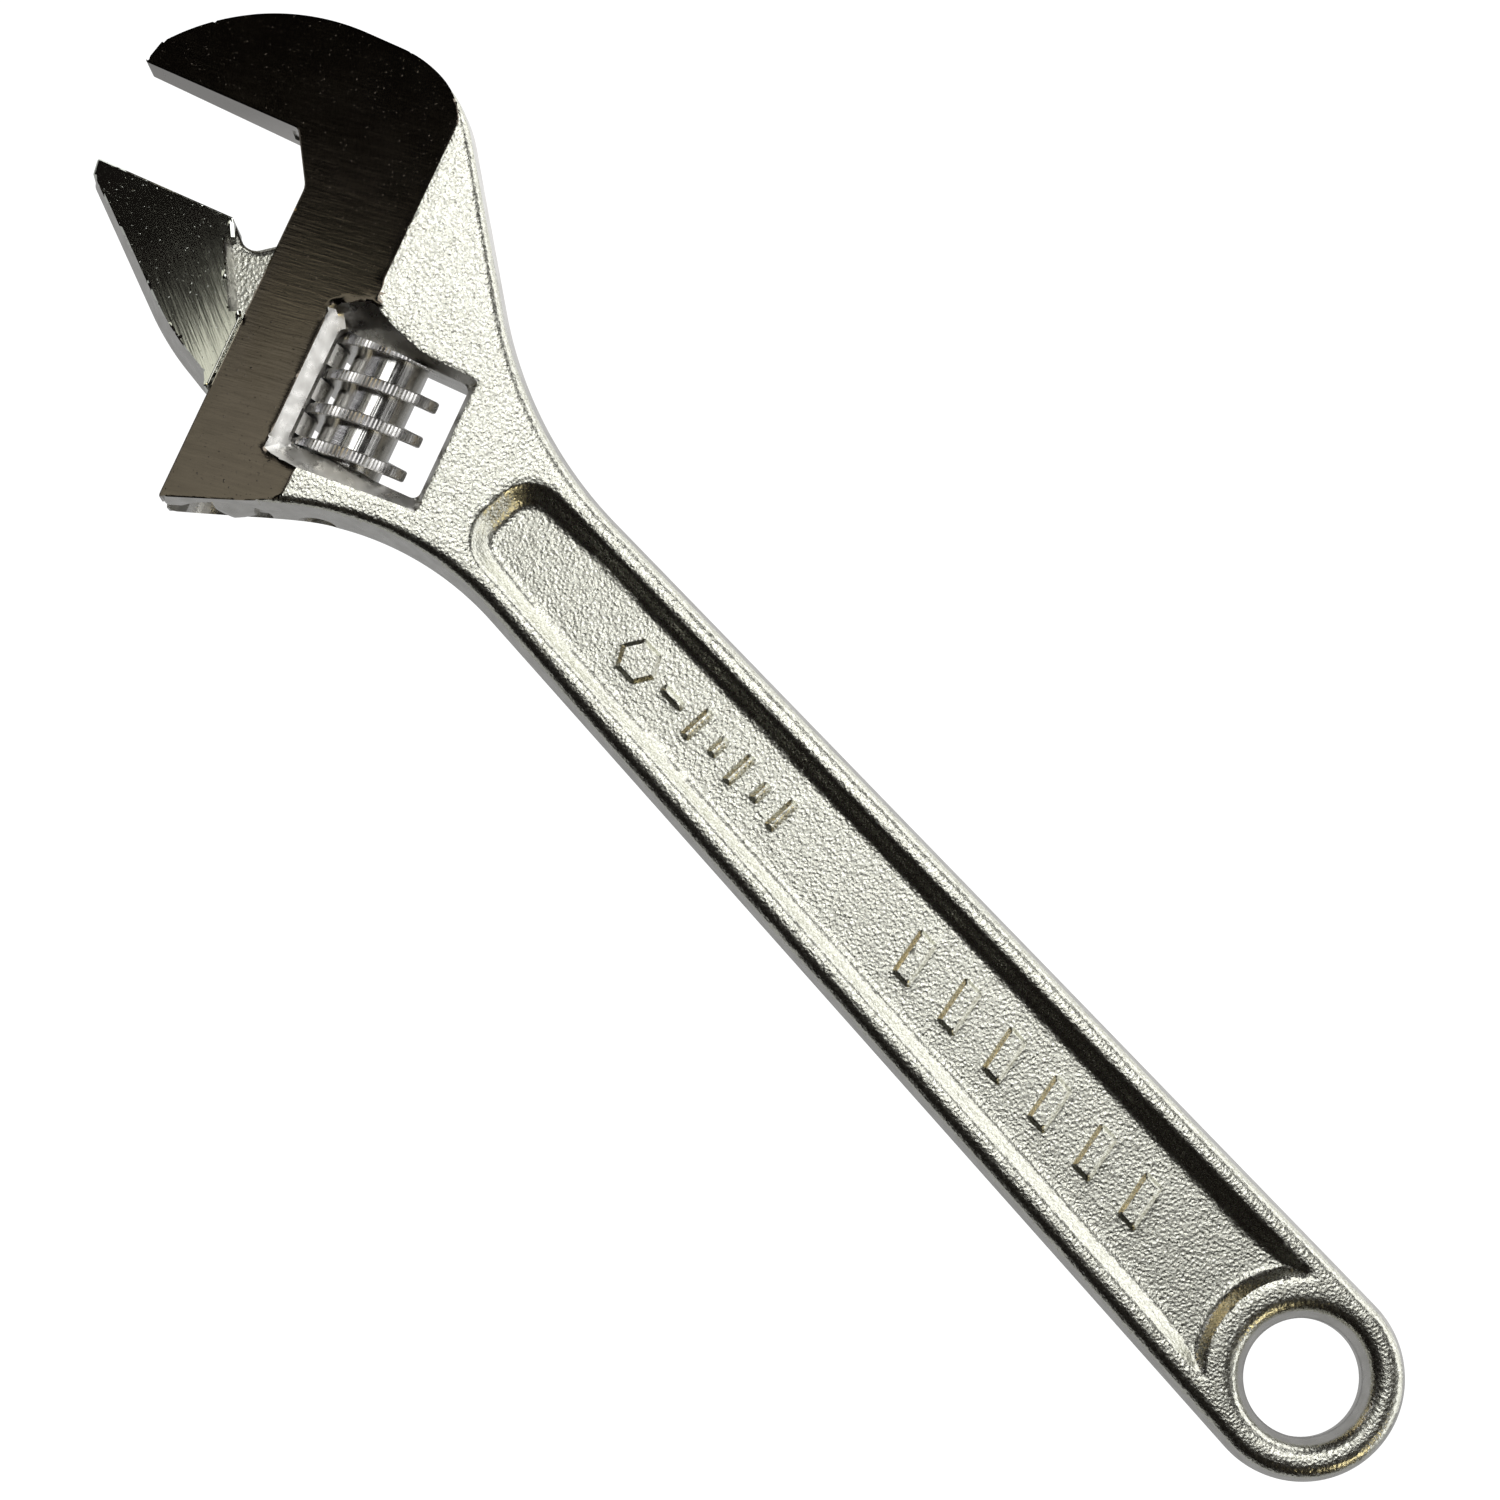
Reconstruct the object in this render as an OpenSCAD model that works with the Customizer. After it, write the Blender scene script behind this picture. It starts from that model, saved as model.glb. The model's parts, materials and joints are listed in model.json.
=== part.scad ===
// Adjustable wrench with an offset head.
//
// The origin is the centre of the hang hole at mid-thickness. +X runs along the handle to the
// jaws, +Y points to the side the movable jaw is on, and +Z is up when the wrench lies flat.
// The head is drawn in its own frame, turned by jaw_angle about the origin: u runs forwards
// along the jaw faces and w runs across them, the way the movable jaw opens.

/* [Handle] */
// Radius of the cylindrical land of the hang hole
hang_hole_r = 6.45; // [5:0.05:7]
// Radius of the rounded end of the handle
handle_end_r = 11.3; // [11:0.1:12]
// Half width of the handle at the hang hole
handle_end_half = 11.25; // [10.8:0.05:11.5]
// Half width of the handle at its neck
handle_neck_half = 8.75; // [8.5:0.05:9.5]
// Thickness of the handle
handle_t = 8.8; // [8:0.1:10]
// Depth of the panel sunk into each face of the handle
panel_depth = 1.4; // [0.8:0.1:1.8]
// Width of the rim that is left beside the panel
rim_w = 2.8; // [2.5:0.1:3.2]
// Width of the slope from the rim down to the panel's floor
slope_w = 1.8; // [1.2:0.1:2]
// How far the raised marks stand above the panel's floor
mark_h = 0.5; // [0.2:0.1:0.8]

/* [Head] */
// Angle between the jaw faces and the handle
jaw_angle = 22.5; // [22:0.5:23]
// Half thickness of the head where its ground faces begin
head_half_t = 7.1; // [6.9:0.05:7.4]
// Slope of the ground faces towards the jaw tips, in degrees
face_taper = 5.2; // [4:0.1:5.6]
// Width of the window that holds the worm, along the jaw faces
window_w = 15.5; // [15.3:0.1:16]
// Gap between the two jaws as drawn
jaw_gap = 12; // [11:0.5:13]

/* [Worm and rack] */
// Pitch of the worm's single right-hand thread
worm_pitch = 4.2; // [4:0.1:4.4]
// Radius over the thread
worm_r = 6.6; // [6.4:0.05:6.8]
// Radius of the worm's core
worm_core_r = 3.55; // [3.4:0.05:3.7]
// Width of the thread's ridge
ridge_w = 1.35; // [1.2:0.05:1.5]
// Radius of the toothed rack
rack_r = 5.0; // [4.8:0.05:5.05]
// Radial play of the rack in its bore
rack_play = 0.08; // [0.05:0.01:0.1]
// Radius of the pin that carries the worm
pin_r = 1.6; // [1.5:0.05:1.7]
// Wire radius of the spring inside the worm
wire_r = 0.25; // [0.2:0.05:0.25]

/* [Hidden] */
$fn = 64;

// Room for cutting tools to pass beyond a surface
cut = 1;

// Neck and end of the handle
neck_x = 118;
handle_taper = (handle_end_half - handle_neck_half) / neck_x;
neck_corner_x = 133.6;
function handle_half(x) = handle_end_half - handle_taper * x;
end_half = handle_half(-handle_end_r);
end_corner_r = 0.999 * end_half * tan(45 - atan(handle_taper) / 2);

// Panel in the handle's faces
panel_end_x = 130;
panel_rim_r = 10.1;
panel_corner_r = 4.4;

// Stations of the head in its own frame
front_u = 153.7;        // front edge of the head, where the jaw's neck comes out
throat_u = 157.2;       // inner end of the fixed jaw's face
tip_u = 176.2;          // tips of the jaws
ground_u = 141.2;       // line where the ground faces begin
fixed_w = -78.5;        // face of the fixed jaw
throat_w = -72.9;       // end of the throat on the front edge
chin_w = -34.3;         // lower tip of the head
back_w = -91.55;        // top of the fixed jaw's back
jaw_w = fixed_w + jaw_gap;

// Window, worm and rack
window_u = 127.9;
window_w0 = -60.5;
window_w1 = -46.6;
worm_u = 137.25;
worm_end_play = 0.15;
worm_w0 = window_w0 + worm_end_play;
worm_w1 = window_w1 - worm_end_play;
worm_len = worm_w1 - worm_w0;
thread_phase = 3.15;    // first ridge beyond worm_w0 on the side away from the rack
rack_u = 147;
rack_end_w = -36.2;
rack_dome = 1.4;
rack_top_w = jaw_w;
mesh_play = 0.17;       // play between a ridge and its slot, on each side and at its crest
bore_end_w = fixed_w - 0.8;
slide_gap = 0.3;        // between the movable jaw and the head's front edge
web_half_t = 2.4;
web_play = 0.15;

// Pin and spring
pin_head_r = 2.1;
pin_play = 0.08;
pin_seat = 4.5;         // how far the pin enters the body beyond the window
spring_pocket_r = 2.75;
spring_pocket = 6.5;
spring_r = 2.2;
spring_turns = 5;
spring_gap = 0.12;

function unit(v) = v / norm(v);

// Arc that rounds corner b, between its neighbours a and c, with the radius in b's third value
function corner_arc(a, b, c) =
    let (p = [b.x, b.y],
         to_a = unit([a.x, a.y] - p),
         to_c = unit([c.x, c.y] - p),
         half = acos(to_a * to_c) / 2,
         centre = p + unit(to_a + to_c) * b.z / sin(half),
         start = p + to_a * b.z / tan(half) - centre,
         left_turn = cross(to_c, to_a) > 0,
         sweep = (180 - 2 * half) * (left_turn ? 1 : -1),
         first = atan2(start.y, start.x),
         steps = max(3, ceil(abs(sweep) * b.z / 90)))
    b.z == 0 ? [p] : [for (i = [0:steps]) centre + b.z * [cos(first + sweep * i / steps),
                                                           sin(first + sweep * i / steps)]];

// Closed outline whose corners [x, y, radius] are each rounded with their own radius
function rounded(corners) =
    let (n = len(corners))
    [for (i = [0:n - 1])
        each corner_arc(corners[(i + n - 1) % n], corners[i], corners[(i + 1) % n])];

// A corner given in the handle's frame, seen from the head's frame
function from_handle(x, y, r) =
    [x * cos(jaw_angle) + y * sin(jaw_angle), y * cos(jaw_angle) - x * sin(jaw_angle), r];

// Half thickness of the ground faces at u
function ground_z(u) = head_half_t - (u - ground_u) * tan(face_taper);

// Outline of the body, from the lower tip of the head round the jaw and the handle
body_outline = rounded([
    [front_u, chin_w, 0.8],
    [front_u, throat_w, 2],
    [throat_u, fixed_w, 0.8],
    [tip_u, fixed_w, 0.3],
    [tip_u - 0.7, fixed_w - 2.8, 0.8],
    [166.9, back_w, 28],
    [143.25, back_w, 14],
    from_handle(neck_corner_x, -handle_half(neck_corner_x), 46),
    from_handle(-handle_end_r, -end_half, end_corner_r),
    from_handle(-handle_end_r, end_half, end_corner_r),
    [127.8, -43.8, 34]
]);

// Outline of the jaw itself, in front of the head, and of the thin neck that joins the rack
jaw_outline = rounded([
    [tip_u, jaw_w, 0.3],
    [throat_u + 2.3, jaw_w, 0.3],
    [front_u + slide_gap, jaw_w + 9.5, 0.3],
    [front_u + slide_gap, jaw_w + 18.8, 0.6],
    [161, jaw_w + 15.3, 30],
    [tip_u - 0.4, jaw_w + 2.6, 1]
]);
web_outline = rounded([
    [throat_u + 2.3, jaw_w, 0.2],
    [157, jaw_w + 2.6, 1.8],
    [front_u, jaw_w, 0.5],
    [rack_u, jaw_w, 0],
    [rack_u, jaw_w + 17, 0],
    [front_u + slide_gap + 1, jaw_w + 17, 0]
]);

module in_head() {
    rotate(jaw_angle) children();
}

// Side view of head and handle, in u and z, drawn across the whole wrench
module side_profile() {
    flat = handle_t / 2;
    upper = [[tip_u + cut, ground_z(tip_u + cut), 0], [ground_u, head_half_t, 0],
             [114, flat, 90], [-20, flat, 0]];
    lower = [for (i = [3:-1:0]) [upper[i].x, -upper[i].y, upper[i].z]];
    translate([0, 30, 0])
        rotate([90, 0, 0])
            linear_extrude(height = 130)
                polygon(rounded(concat(upper, lower)));
}

// Extrudes a head outline and trims it to the side view
module forged(outline) {
    intersection() {
        linear_extrude(height = 4 * head_half_t, center = true) polygon(outline);
        side_profile();
    }
}

// Cylinder along w, between two stations
module bar(u, w0, w1, r) {
    translate([u, w1, 0]) rotate([90, 0, 0]) cylinder(h = w1 - w0, r = r);
}

// Hang hole: a short cylindrical land that opens out to both faces
module hang_hole() {
    land = 1.5;
    flare = 0.9;
    rise = handle_t / 2 - land;
    cylinder(h = handle_t, r = hang_hole_r, center = true);
    for (side = [0, 1])
        mirror([0, 0, side])
            translate([0, 0, land])
                cylinder(h = 2 * rise, r1 = hang_hole_r, r2 = hang_hole_r + 2 * flare);
}

// Panel's outline at a distance in from the rim, with a straight end at the hang hole
function panel_outline(inset) = rounded([
    [panel_end_x - inset, -handle_half(panel_end_x) + rim_w + inset, panel_corner_r],
    [panel_end_x - inset, handle_half(panel_end_x) - rim_w - inset, panel_corner_r],
    [0, handle_half(0) - rim_w - inset, 0],
    [0, -handle_half(0) + rim_w + inset, 0]
]);

// Panel of the upper face, with sloping sides, ending in an arc round the hang hole
module panel() {
    top = handle_t / 2;
    steep = slope_w / panel_depth;
    difference() {
        hull() {
            translate([0, 0, top - panel_depth])
                linear_extrude(height = 0.01) polygon(panel_outline(slope_w));
            translate([0, 0, top + cut])
                linear_extrude(height = 0.01) polygon(panel_outline(-cut * steep));
        }
        translate([0, 0, top - 2 * panel_depth])
            cylinder(h = 2 * panel_depth + 2 * cut,
                     r1 = panel_rim_r + 2 * slope_w,
                     r2 = panel_rim_r - 2 * cut * steep);
    }
}

// Raised marks on the panel's floor: a nut's outline, a dash and plain slanted bars
module marks() {
    base = handle_t / 2 - panel_depth - 0.2;
    translate([0, 0, base])
        linear_extrude(height = mark_h + 0.2) {
            translate([106.5, 0])
                difference() {
                    circle(r = 2.5, $fn = 6);
                    circle(r = 1.3);
                }
            translate([101, 0]) square([3, 0.9], center = true);
            for (i = [0:4])
                translate([97 - 3.4 * i, 0]) square([1, i % 2 == 0 ? 4 : 2.4], center = true);
            for (i = [0:5])
                translate([62 - 7.2 * i, 0])
                    polygon([[1.8, -2.7], [-0.6, -2.7], [-1.8, 2.7], [0.6, 2.7]]);
        }
}

// Window for the worm, with its sloping rim on the upper face
module window() {
    inner = [[window_u, window_w0], [window_u + window_w, window_w0],
             [window_u + window_w, window_w1], [window_u, window_w1]];
    floor_z = 4.2;
    outer = [[window_u - 0.7, window_w0 - 2.2], [window_u + window_w + 2.6, window_w0 - 4],
             [window_u + window_w + 2.6, window_w1 + 2.7], [window_u - 0.7, window_w1 + 1.6]];
    hull() {
        translate([0, 0, floor_z])
            linear_extrude(height = 0.01)
                polygon(rounded([for (p = inner) [p.x, p.y, 0.9]]));
        translate([0, 0, head_half_t + 0.4])
            linear_extrude(height = 0.01)
                polygon(rounded([for (p = outer) [p.x, p.y, 1.2]]));
    }
    linear_extrude(height = 2 * head_half_t, center = true)
        polygon(rounded([for (p = inner) [p.x, p.y, 0.9]]));
}

// Bore for the rack, open at the head's lower edge, with the slot for the jaw's neck
module rack_way() {
    bar(rack_u, bore_end_w, chin_w + 5, rack_r + rack_play);
    translate([rack_u, fixed_w - 0.3, -web_half_t - web_play])
        cube([throat_u - rack_u + 1, chin_w + 5 - fixed_w, 2 * (web_half_t + web_play)]);
}

module body() {
    color("Silver")
        difference() {
            union() {
                difference() {
                    in_head() forged(body_outline);
                    for (side = [0, 1]) mirror([0, 0, side]) panel();
                }
                for (side = [0, 180]) rotate([side, 0, 0]) marks();
            }
            hang_hole();
            in_head() {
                for (side = [0, 1]) mirror([0, 0, side]) window();
                rack_way();
                bar(worm_u, window_w1 - cut, chin_w, pin_head_r);
                bar(worm_u, window_w0 - pin_seat, window_w0 + cut, pin_r);
            }
        }
}

// Rack: a domed bar with one slot for each turn of the worm's thread
module rack() {
    lead = atan(worm_pitch / (2 * PI * worm_r));
    slot_w = ridge_w + 2 * mesh_play;
    slot_u = worm_u + worm_r + mesh_play;
    first = worm_w0 + thread_phase + worm_pitch / 2;
    difference() {
        union() {
            bar(rack_u, rack_top_w, rack_end_w - rack_dome, rack_r);
            translate([rack_u, rack_end_w - rack_dome, 0])
                rotate([-90, 0, 0])
                    cylinder(h = rack_dome, r1 = rack_r, r2 = 1.2);
        }
        for (i = [-2:4])
            translate([slot_u, first + i * worm_pitch, 0])
                rotate([lead, 0, 0])
                    translate([-rack_r, -slot_w / 2, -2 * rack_r])
                        cube([rack_r, slot_w, 4 * rack_r]);
    }
}

module movable_jaw() {
    color("DimGray")
        in_head() {
            forged(jaw_outline);
            linear_extrude(height = 2 * web_half_t, center = true) polygon(web_outline);
            rack();
        }
}

// Ridge of the worm: a square section swept along the helix and cut flush with both ends
module thread() {
    margin = 0.2;
    steps_per_turn = 48;
    low = margin;
    high = worm_len - margin;
    turn_at_low = (low - ridge_w / 2 - thread_phase) / worm_pitch;
    turn_at_high = (high + ridge_w / 2 - thread_phase) / worm_pitch;
    steps = ceil((turn_at_high - turn_at_low) * steps_per_turn);
    sliver = 0.04;
    radii = [worm_core_r - 0.3, worm_r];
    function middle(i) =
        thread_phase + worm_pitch * (turn_at_low + (turn_at_high - turn_at_low) * i / steps);
    function below(i) = min(high - sliver, max(low, middle(i) - ridge_w / 2));
    function above(i) = max(low + sliver, min(high, middle(i) + ridge_w / 2));
    function around(r, i) =
        let (a = 360 * (middle(i) - thread_phase) / worm_pitch) [-r * cos(a), r * sin(a)];
    function at(r, i, w) = [around(r, i).x, w, around(r, i).y];
    rings = [for (i = [0:steps])
        each [at(radii[0], i, below(i)), at(radii[1], i, below(i)),
              at(radii[1], i, above(i)), at(radii[0], i, above(i))]];
    sides = [for (i = [0:steps - 1]) for (k = [0:3])
        let (a = 4 * i + k, b = 4 * i + (k + 1) % 4)
            each [[a, b, b + 4], [a, b + 4, a + 4]]];
    ends = [[3, 2, 1, 0], [for (k = [0:3]) 4 * steps + k]];
    polyhedron(rings, concat(sides, ends), convexity = 6);
}

module worm() {
    color("LightGray")
        in_head()
            difference() {
                union() {
                    bar(worm_u, worm_w0, worm_w1, worm_core_r);
                    translate([worm_u, worm_w0, 0]) thread();
                }
                bar(worm_u, worm_w0 - cut, worm_w1 + cut, pin_r + pin_play);
                bar(worm_u, worm_w0 - cut, worm_w0 + spring_pocket, spring_pocket_r);
            }
}

// Pin: a slotted head in the head's lower wall and a plain shank through the worm
module worm_pin() {
    head_w = -41.2;
    slot = 0.8;
    color("Gray")
        in_head()
            difference() {
                union() {
                    bar(worm_u, window_w0 - pin_seat + 0.3, window_w1 + 0.5, pin_r);
                    bar(worm_u, window_w1 + 0.1, head_w, pin_head_r);
                }
                translate([worm_u - pin_head_r - cut, head_w - slot, -slot / 2])
                    cube([2 * (pin_head_r + cut), slot + cut, slot]);
            }
}

// Spring: round wire wound round the pin, between the window's wall and the worm's pocket
module worm_spring() {
    sides = 8;
    steps_per_turn = 24;
    steps = spring_turns * steps_per_turn;
    start = window_w0 + wire_r + spring_gap;
    rise = worm_w0 + spring_pocket - spring_gap - wire_r - start;
    function wire(i, k) =
        let (a = 360 * i / steps_per_turn, b = 360 * k / sides, r = spring_r + wire_r * cos(b))
            [r * cos(a), start + rise * i / steps + wire_r * sin(b), -r * sin(a)];
    points = [for (i = [0:steps]) for (k = [0:sides - 1]) wire(i, k)];
    skin = [for (i = [0:steps - 1]) for (k = [0:sides - 1])
        let (a = sides * i + k, b = sides * i + (k + 1) % sides)
            each [[a, b, b + sides], [a, b + sides, a + sides]]];
    ends = [[for (k = [sides - 1:-1:0]) k], [for (k = [0:sides - 1]) sides * steps + k]];
    color("SlateGray")
        in_head()
            translate([worm_u, 0, 0]) polyhedron(points, concat(skin, ends), convexity = 6);
}

body();
movable_jaw();
worm();
worm_pin();
worm_spring();
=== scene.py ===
"""Looks of the adjustable wrench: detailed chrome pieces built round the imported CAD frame.

Shapes are worked out in millimetres in the row frame. The head has its own frame, turned by the
jaw angle: u runs forwards along the jaw faces and w runs across them, the way the jaw opens.
"""

import json
import math

import bmesh
import bpy
import numpy as np
from mathutils import Matrix, Vector
from mathutils.geometry import delaunay_2d_cdt
from mathutils.kdtree import KDTree


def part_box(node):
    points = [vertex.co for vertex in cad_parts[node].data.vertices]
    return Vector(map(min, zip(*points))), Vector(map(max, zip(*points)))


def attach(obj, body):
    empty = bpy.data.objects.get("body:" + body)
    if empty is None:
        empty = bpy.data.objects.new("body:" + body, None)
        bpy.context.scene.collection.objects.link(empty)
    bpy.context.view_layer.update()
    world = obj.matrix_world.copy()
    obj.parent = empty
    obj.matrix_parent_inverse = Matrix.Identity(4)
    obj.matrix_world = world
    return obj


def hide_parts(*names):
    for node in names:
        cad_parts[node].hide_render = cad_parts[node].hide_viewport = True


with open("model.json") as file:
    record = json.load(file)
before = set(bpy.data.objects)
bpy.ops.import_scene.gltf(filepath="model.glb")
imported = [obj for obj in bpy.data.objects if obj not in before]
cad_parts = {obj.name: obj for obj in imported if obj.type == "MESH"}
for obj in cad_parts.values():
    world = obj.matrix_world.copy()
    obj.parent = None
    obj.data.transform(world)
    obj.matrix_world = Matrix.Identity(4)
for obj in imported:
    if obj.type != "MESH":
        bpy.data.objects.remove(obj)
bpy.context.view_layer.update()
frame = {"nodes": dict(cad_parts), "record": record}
record = frame["record"]
MM = 0.001


# ---------------------------------------------------------------- sizes read from the frame

def mount(name):
    return next(m for m in record["mounts"] if m["name"] == name)


def joint(name):
    return next(j for j in record["behaviour"]["joints"] if j["name"] == name)


OPENING = joint("jaw_slide")["axis"]
JAW_ANGLE = math.atan2(-OPENING[0], OPENING[1])
COS, SIN = math.cos(JAW_ANGLE), math.sin(JAW_ANGLE)


def to_row(u, w):
    return u * COS - w * SIN, u * SIN + w * COS


def to_head(x, y):
    return x * COS + y * SIN, y * COS - x * SIN


def head_point(metres):
    return to_head(metres[0] / MM, metres[1] / MM)


def node_extent(node):
    """Lowest and highest u and w of a CAD node."""
    co = np.array([v.co for v in frame["nodes"][node].data.vertices]) / MM
    u, w = to_head(co[:, 0], co[:, 1])
    return u.min(), u.max(), w.min(), w.max()


HOLE_R = mount("hang_hole")["dims"]["r_mm"]
HOLE_LAND = mount("hang_hole")["dims"]["length_mm"] / 2
FIXED_W = head_point(mount("fixed_jaw_face")["pos_m"])[1]
JAW_W = head_point(mount("movable_jaw_face")["pos_m"])[1]
WORM_U = head_point(joint("worm_spin")["pos_m"])[0]
PITCH = 2 * math.pi / record["behaviour"]["couplings"][0]["ratio"] / MM
BODY_LOW, BODY_HIGH = (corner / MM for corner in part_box("body"))
HEAD_HALF = BODY_HIGH.z
END_R = -BODY_LOW.x
WORM_W0, WORM_W1 = node_extent("worm")[2:]
WORM_R = WORM_U - node_extent("worm")[0]
TIP_U = node_extent("movable_jaw")[1]
RACK_END_W = node_extent("movable_jaw")[3]

# Handle: half widths at both ends, the panel with its rim and floor, and the raised marks
HANDLE_HALF_T = 4.4
END_HALF, NECK_HALF, NECK_X = 11.25, 8.75, 118.0
NECK_CORNER_X = 133.6
PANEL_FLOOR = HANDLE_HALF_T - 1.4
PANEL_END_X, PANEL_START_X = 130.0, -4.0
PANEL_RIM_R = 10.9
PANEL_CORNER_R = 4.4
RIM_W = 2.8
MARK_H = 0.5

# Head: front and chin, the throat and back of the fixed jaw, the ground faces and the window
FRONT_U = 153.7
THROAT_U, THROAT_W = 157.2, FIXED_W + 5.6
CHIN_W = -34.3
BACK_W = FIXED_W - 13.05
GROUND_U = 141.2
FACE_TAPER = math.tan(math.radians(5.2))
RISE_U, RISE_BEND = 114.0, 4.5
WINDOW_U0, WINDOW_U1 = 127.9, 143.4
WINDOW_W0, WINDOW_W1 = WORM_W0 - 0.15, WORM_W1 + 0.15
WINDOW_Z = 4.2
WINDOW_CORNER_R = 0.9

# Edges: the flat land at the parting line and the small chamfers of the ground faces
PARTING_LAND = 0.35
CHAMFER = 0.15

# Movable jaw: its clearance from the head, its neck and its rack, whose end is cut short so that
# the last slot runs out through it
SLIDE_GAP = 0.3
WEB_HALF_T, WEB_PLAY = 2.4, 0.15
RACK_U, RACK_R, RACK_PLAY = 147.0, 5.0, 0.08
RACK_DOME = 2.6
RACK_CUT_SHORT = 0.7
OUTER_W = JAW_W + 2.0
OUTER_U = FRONT_U + SLIDE_GAP + 0.4

# Worm: a square ridge on a core, bored for its pin, with a pocket for the spring
CORE_R, RIDGE_W = 4.15, 1.35
MESH_PLAY = 0.17
THREAD_W0 = WORM_W0 + 3.15
TEETH_PER_TURN = 92
TOOTH_DEPTH = (0, 0.07, 0.13, 0.07)
WORM_BORE_R = 1.68
POCKET_R, POCKET_DEPTH = 2.75, 6.5
PIN_HOLE_R, PIN_HEAD_HOLE_R = 1.61, 2.11

# Where rows of points follow the edges, as distances from each outline
BODY_RINGS = (0.15, 0.35, 0.6, 0.85, 1.0, 1.2, 1.45, 1.75, 2.1, 2.5)
PANEL_RINGS = (-0.3, 0, 0.3, 0.9, 1.5, 1.9, 2.3, 2.7)
WINDOW_RINGS = (0.2, 0.5, 0.8, 1.1, 1.5, 1.9, 2.3, 2.8, 3.3, 3.8)
MARK_RINGS = (0.02, 0.2, 0.38, -0.14, -0.3)
JAW_RINGS = (0.08, 0.16, 0.25, 0.4, 0.55, 0.75, 1.0, 1.2, 1.35, 1.5, 1.8)
WEB_RINGS = (0.15, 0.35, 0.6, 0.9)
HOLE_CIRCLES = (6.75, 7.15, 7.3, 7.6, 8.0, 8.5, 9.0, 9.8, 10.5, 10.9, 11.2, 11.5, 11.8, 12.1,
                12.4, 13)

# Profile of the lip round the hang hole, as radii and heights
LIP_R = (HOLE_R, 7.15, 7.3, 7.6, 8.0, 8.5, 9.0)
LIP_Z = (HOLE_LAND, 3.3, 3.62, 3.98, 4.22, 4.36, 4.4)

# Plan triangles with a middle closer to the outline than this are dropped
SLIVER = 1e-4
# Angle between faces above which an edge stays sharp
SHARP_DEG = 25

# Faces' material slots
FORGED, GROUND, WALL = 0, 1, 2


# ---------------------------------------------------------------- outlines and distances

def rounded(corners, step=0.5):
    """Closed outline whose corners (x, y, radius) are rounded, with sides no longer than step."""
    points = []
    n = len(corners)
    for i in range(n):
        a, b, c = (np.array(corners[(i + k) % n][:2], float) for k in (-1, 0, 1))
        r = corners[i][2]
        if r == 0:
            points.append(b)
            continue
        to_a, to_c = (a - b) / np.linalg.norm(a - b), (c - b) / np.linalg.norm(c - b)
        half = math.acos(np.clip(to_a @ to_c, -1, 1)) / 2
        bisector = (to_a + to_c) / np.linalg.norm(to_a + to_c)
        centre = b + bisector * r / math.sin(half)
        start = b + to_a * r / math.tan(half) - centre
        turn = math.pi - 2 * half
        if to_c[0] * to_a[1] - to_c[1] * to_a[0] < 0:
            turn = -turn
        first = math.atan2(start[1], start[0])
        count = max(3, math.ceil(abs(turn) * r / step), math.ceil(abs(turn) / 0.3))
        angles = first + turn * np.arange(count + 1) / count
        points += [centre + r * np.array([math.cos(t), math.sin(t)]) for t in angles]
    return subdivided(np.array(points), step)


def subdivided(loop, step):
    """The same closed loop with its long sides split."""
    out = []
    for a, b in zip(loop, np.roll(loop, -1, axis=0)):
        count = max(1, math.ceil(np.linalg.norm(b - a) / step - 1e-6))
        out += [a + (b - a) * k / count for k in range(count)]
    return np.array(out)


def area(loop):
    a, b = loop, np.roll(loop, -1, axis=0)
    return (a[:, 0] * b[:, 1] - b[:, 0] * a[:, 1]).sum() / 2


def inward(loop):
    """Unit normals at the vertices of a loop, pointing to its inside."""
    along = np.roll(loop, -1, axis=0) - np.roll(loop, 1, axis=0)
    along /= np.linalg.norm(along, axis=1)[:, None]
    return np.stack([-along[:, 1], along[:, 0]], 1) * np.sign(area(loop))


class Edge:
    """A closed loop with fast distances to it."""

    def __init__(self, loop):
        self.loop = loop
        self.normal = inward(loop)
        self.tree = KDTree(len(loop))
        for i, p in enumerate(loop):
            self.tree.insert((p[0], p[1], 0), i)
        self.tree.balance()

    def nearest(self, points):
        return np.array([self.tree.find((p[0], p[1], 0))[1] for p in points], int)

    def inside(self, points):
        """Signed distance from the loop, positive inside, and the nearest vertex."""
        index = self.nearest(points)
        n = len(self.loop)
        best = np.full(len(points), 1e9)
        sign = np.ones(len(points))
        flip = np.sign(area(self.loop))
        for first in (index - 1, index):
            a, b = self.loop[first % n], self.loop[(first + 1) % n]
            ab, ap = b - a, points - a
            t = np.clip((ap * ab).sum(1) / (ab * ab).sum(1), 0, 1)
            away = ap - ab * t[:, None]
            d = np.hypot(away[:, 0], away[:, 1])
            side = (ab[:, 0] * ap[:, 1] - ab[:, 1] * ap[:, 0]) * flip
            closer = d < best - 1e-9
            tie = np.abs(d - best) <= 1e-9
            sign = np.where(closer, np.sign(side), np.where(tie, np.sign(sign + side), sign))
            best = np.minimum(best, d)
        return best * np.where(sign == 0, 1, sign), index

    def ring(self, inset):
        """The loop moved in by inset, with the points that would cross it left out."""
        moved = self.loop + self.normal * inset
        d, _ = self.inside(moved)
        return moved[np.abs(d - inset) < 0.04 + 0.02 * abs(inset)]


def smooth_min(a, b, r):
    h = np.clip(0.5 + 0.5 * (b - a) / r, 0, 1)
    return b + (a - b) * h - r * h * (1 - h)


def smooth_max(a, b, r):
    return -smooth_min(-a, -b, r)


def handle_half(x):
    return END_HALF + (NECK_HALF - END_HALF) * x / NECK_X


def handle_corner(x, y, r):
    return (*to_head(x, y), r)


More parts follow.
